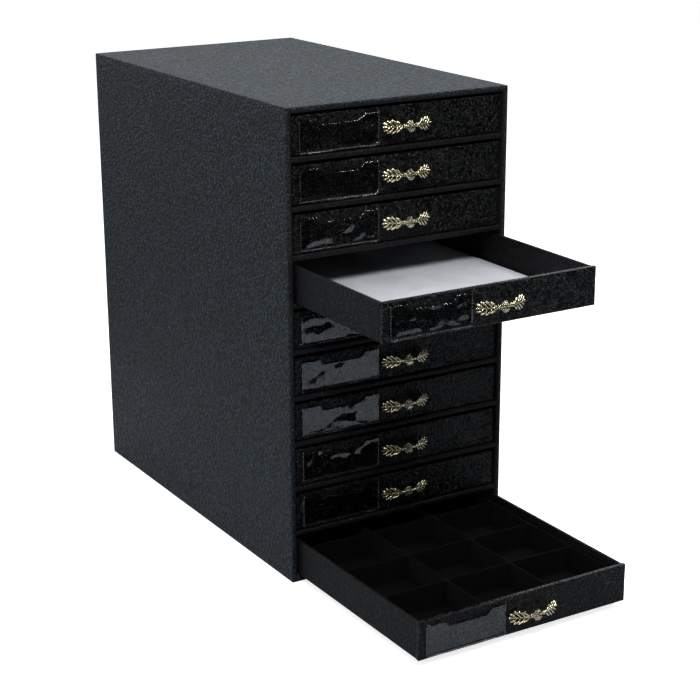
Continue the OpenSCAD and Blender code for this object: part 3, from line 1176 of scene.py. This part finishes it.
class ARMOIRE_OT_compartment_insert(ArmoireOperator, bpy.types.Operator):
    """Set the velvet compartment insert in the lowest drawer, three compartments wide and six deep"""

    bl_idname = "armoire.compartment_insert"
    bl_label = "Compartment Insert"

    def execute(self, context):
        low, high = local_box("compartment_insert", INSERT_DRAWER)
        wide, deep, tall = high - low
        half_divider, floor_t = 1.0 * MM, 1.5 * MM
        bm = bmesh.new()
        middle = Vector(((low.x + high.x) / 2, (low.y + high.y) / 2, high.z))
        inner = Matrix.Diagonal((wide - 2 * half_divider, deep - 2 * half_divider, 1, 1))
        bmesh.ops.create_grid(
            bm, x_segments=3, y_segments=6, size=0.5, matrix=Matrix.Translation(middle) @ inner
        )
        cells = bm.faces[:]
        bmesh.ops.inset_individual(bm, faces=cells, thickness=half_divider, use_even_offset=True)
        for cell in cells:
            bmesh.ops.inset_region(bm, faces=[cell], thickness=0, depth=-(tall - floor_t))
        outline = [edge for edge in bm.edges if edge.is_boundary]
        skirt = bmesh.ops.extrude_edge_only(bm, edges=outline)["geom"]
        new_edges = [g for g in skirt if isinstance(g, bmesh.types.BMEdge) and g.is_boundary]
        lip = {v for g in new_edges for v in g.verts}
        for vertex in lip:
            away = vertex.co - middle
            if abs(away.x) > wide / 2 - 1.5 * half_divider:
                vertex.co.x += math.copysign(half_divider, away.x)
            if abs(away.y) > deep / 2 - 1.5 * half_divider:
                vertex.co.y += math.copysign(half_divider, away.y)
        drop = bmesh.ops.extrude_edge_only(bm, edges=new_edges)["geom"]
        feet = [g for g in drop if isinstance(g, bmesh.types.BMVert)]
        bmesh.ops.translate(bm, verts=feet, vec=(0, 0, -tall))
        rim = [g for g in drop if isinstance(g, bmesh.types.BMEdge) and g.is_boundary]
        bmesh.ops.contextual_create(bm, geom=rim)
        bmesh.ops.recalc_face_normals(bm, faces=bm.faces[:])
        uprights = edges_where(
            bm, lambda m: low.z + 2 * MM < m.z < high.z - 2 * MM and abs(m.x) < high.x - half_divider, 60
        )
        round_edges(bm, uprights, 3 * MM, 4)
        tops = edges_where(bm, lambda m: m.z > high.z - CLOSE, 60)
        round_edges(bm, tops, 0.75 * MM, 3)
        floors = edges_where(bm, lambda m: abs(m.z - low.z - floor_t) < CLOSE, 60)
        round_edges(bm, floors, 1.5 * MM, 3)
        cut_across(bm, X, 8 * MM)
        cut_across(bm, Y, 8 * MM)
        cut_across(bm, Z, 6 * MM)
        bm.transform(drawer_place(INSERT_DRAWER))
        swell(bm, 0.15 * MM, 14 * MM)
        make_piece(
            INSERT_DRAWER + "_velvet_insert", to_mesh(bm, "insert"), insert_velvet, INSERT_DRAWER,
            [INSERT_DRAWER + "_compartment_insert"], crease=60,
        )
        return {"FINISHED"}


# ---------------------------------------------------------------- add-on


PIECES = (
    ARMOIRE_OT_stage, ARMOIRE_OT_boards, ARMOIRE_OT_outer_cover, ARMOIRE_OT_back_and_base,
    ARMOIRE_OT_shelf_bindings, ARMOIRE_OT_trays, ARMOIRE_OT_fronts, ARMOIRE_OT_label_pockets,
    ARMOIRE_OT_pulls, ARMOIRE_OT_pads, ARMOIRE_OT_compartment_insert,
)


class ARMOIRE_PT_pieces(bpy.types.Panel):
    """The armoire's sizes, colours and pieces"""

    bl_idname = "ARMOIRE_PT_pieces"
    bl_label = "Jewelry Armoire"
    bl_space_type = "VIEW_3D"
    bl_region_type = "UI"
    bl_category = "Armoire"

    def draw(self, context):
        for group in (context.scene.armoire_sizes, context.scene.armoire_colours):
            column = self.layout.column()
            for name in group.__annotations__:
                column.prop(group, name)
        for piece in PIECES:
            self.layout.operator(piece.bl_idname)


CLASSES = (ArmoireSizes, ArmoireColours, *PIECES, ARMOIRE_PT_pieces)


def register():
    for cls in CLASSES:
        bpy.utils.register_class(cls)
    bpy.types.Scene.armoire_sizes = bpy.props.PointerProperty(type=ArmoireSizes)
    bpy.types.Scene.armoire_colours = bpy.props.PointerProperty(type=ArmoireColours)


def unregister():
    del bpy.types.Scene.armoire_colours
    del bpy.types.Scene.armoire_sizes
    for cls in reversed(CLASSES):
        bpy.utils.unregister_class(cls)


def main():
    """Makes every piece in order."""
    register()
    for piece in PIECES:
        family, name = piece.bl_idname.split(".")
        getattr(getattr(bpy.ops, family), name)()


if __name__ == "__main__":
    main()
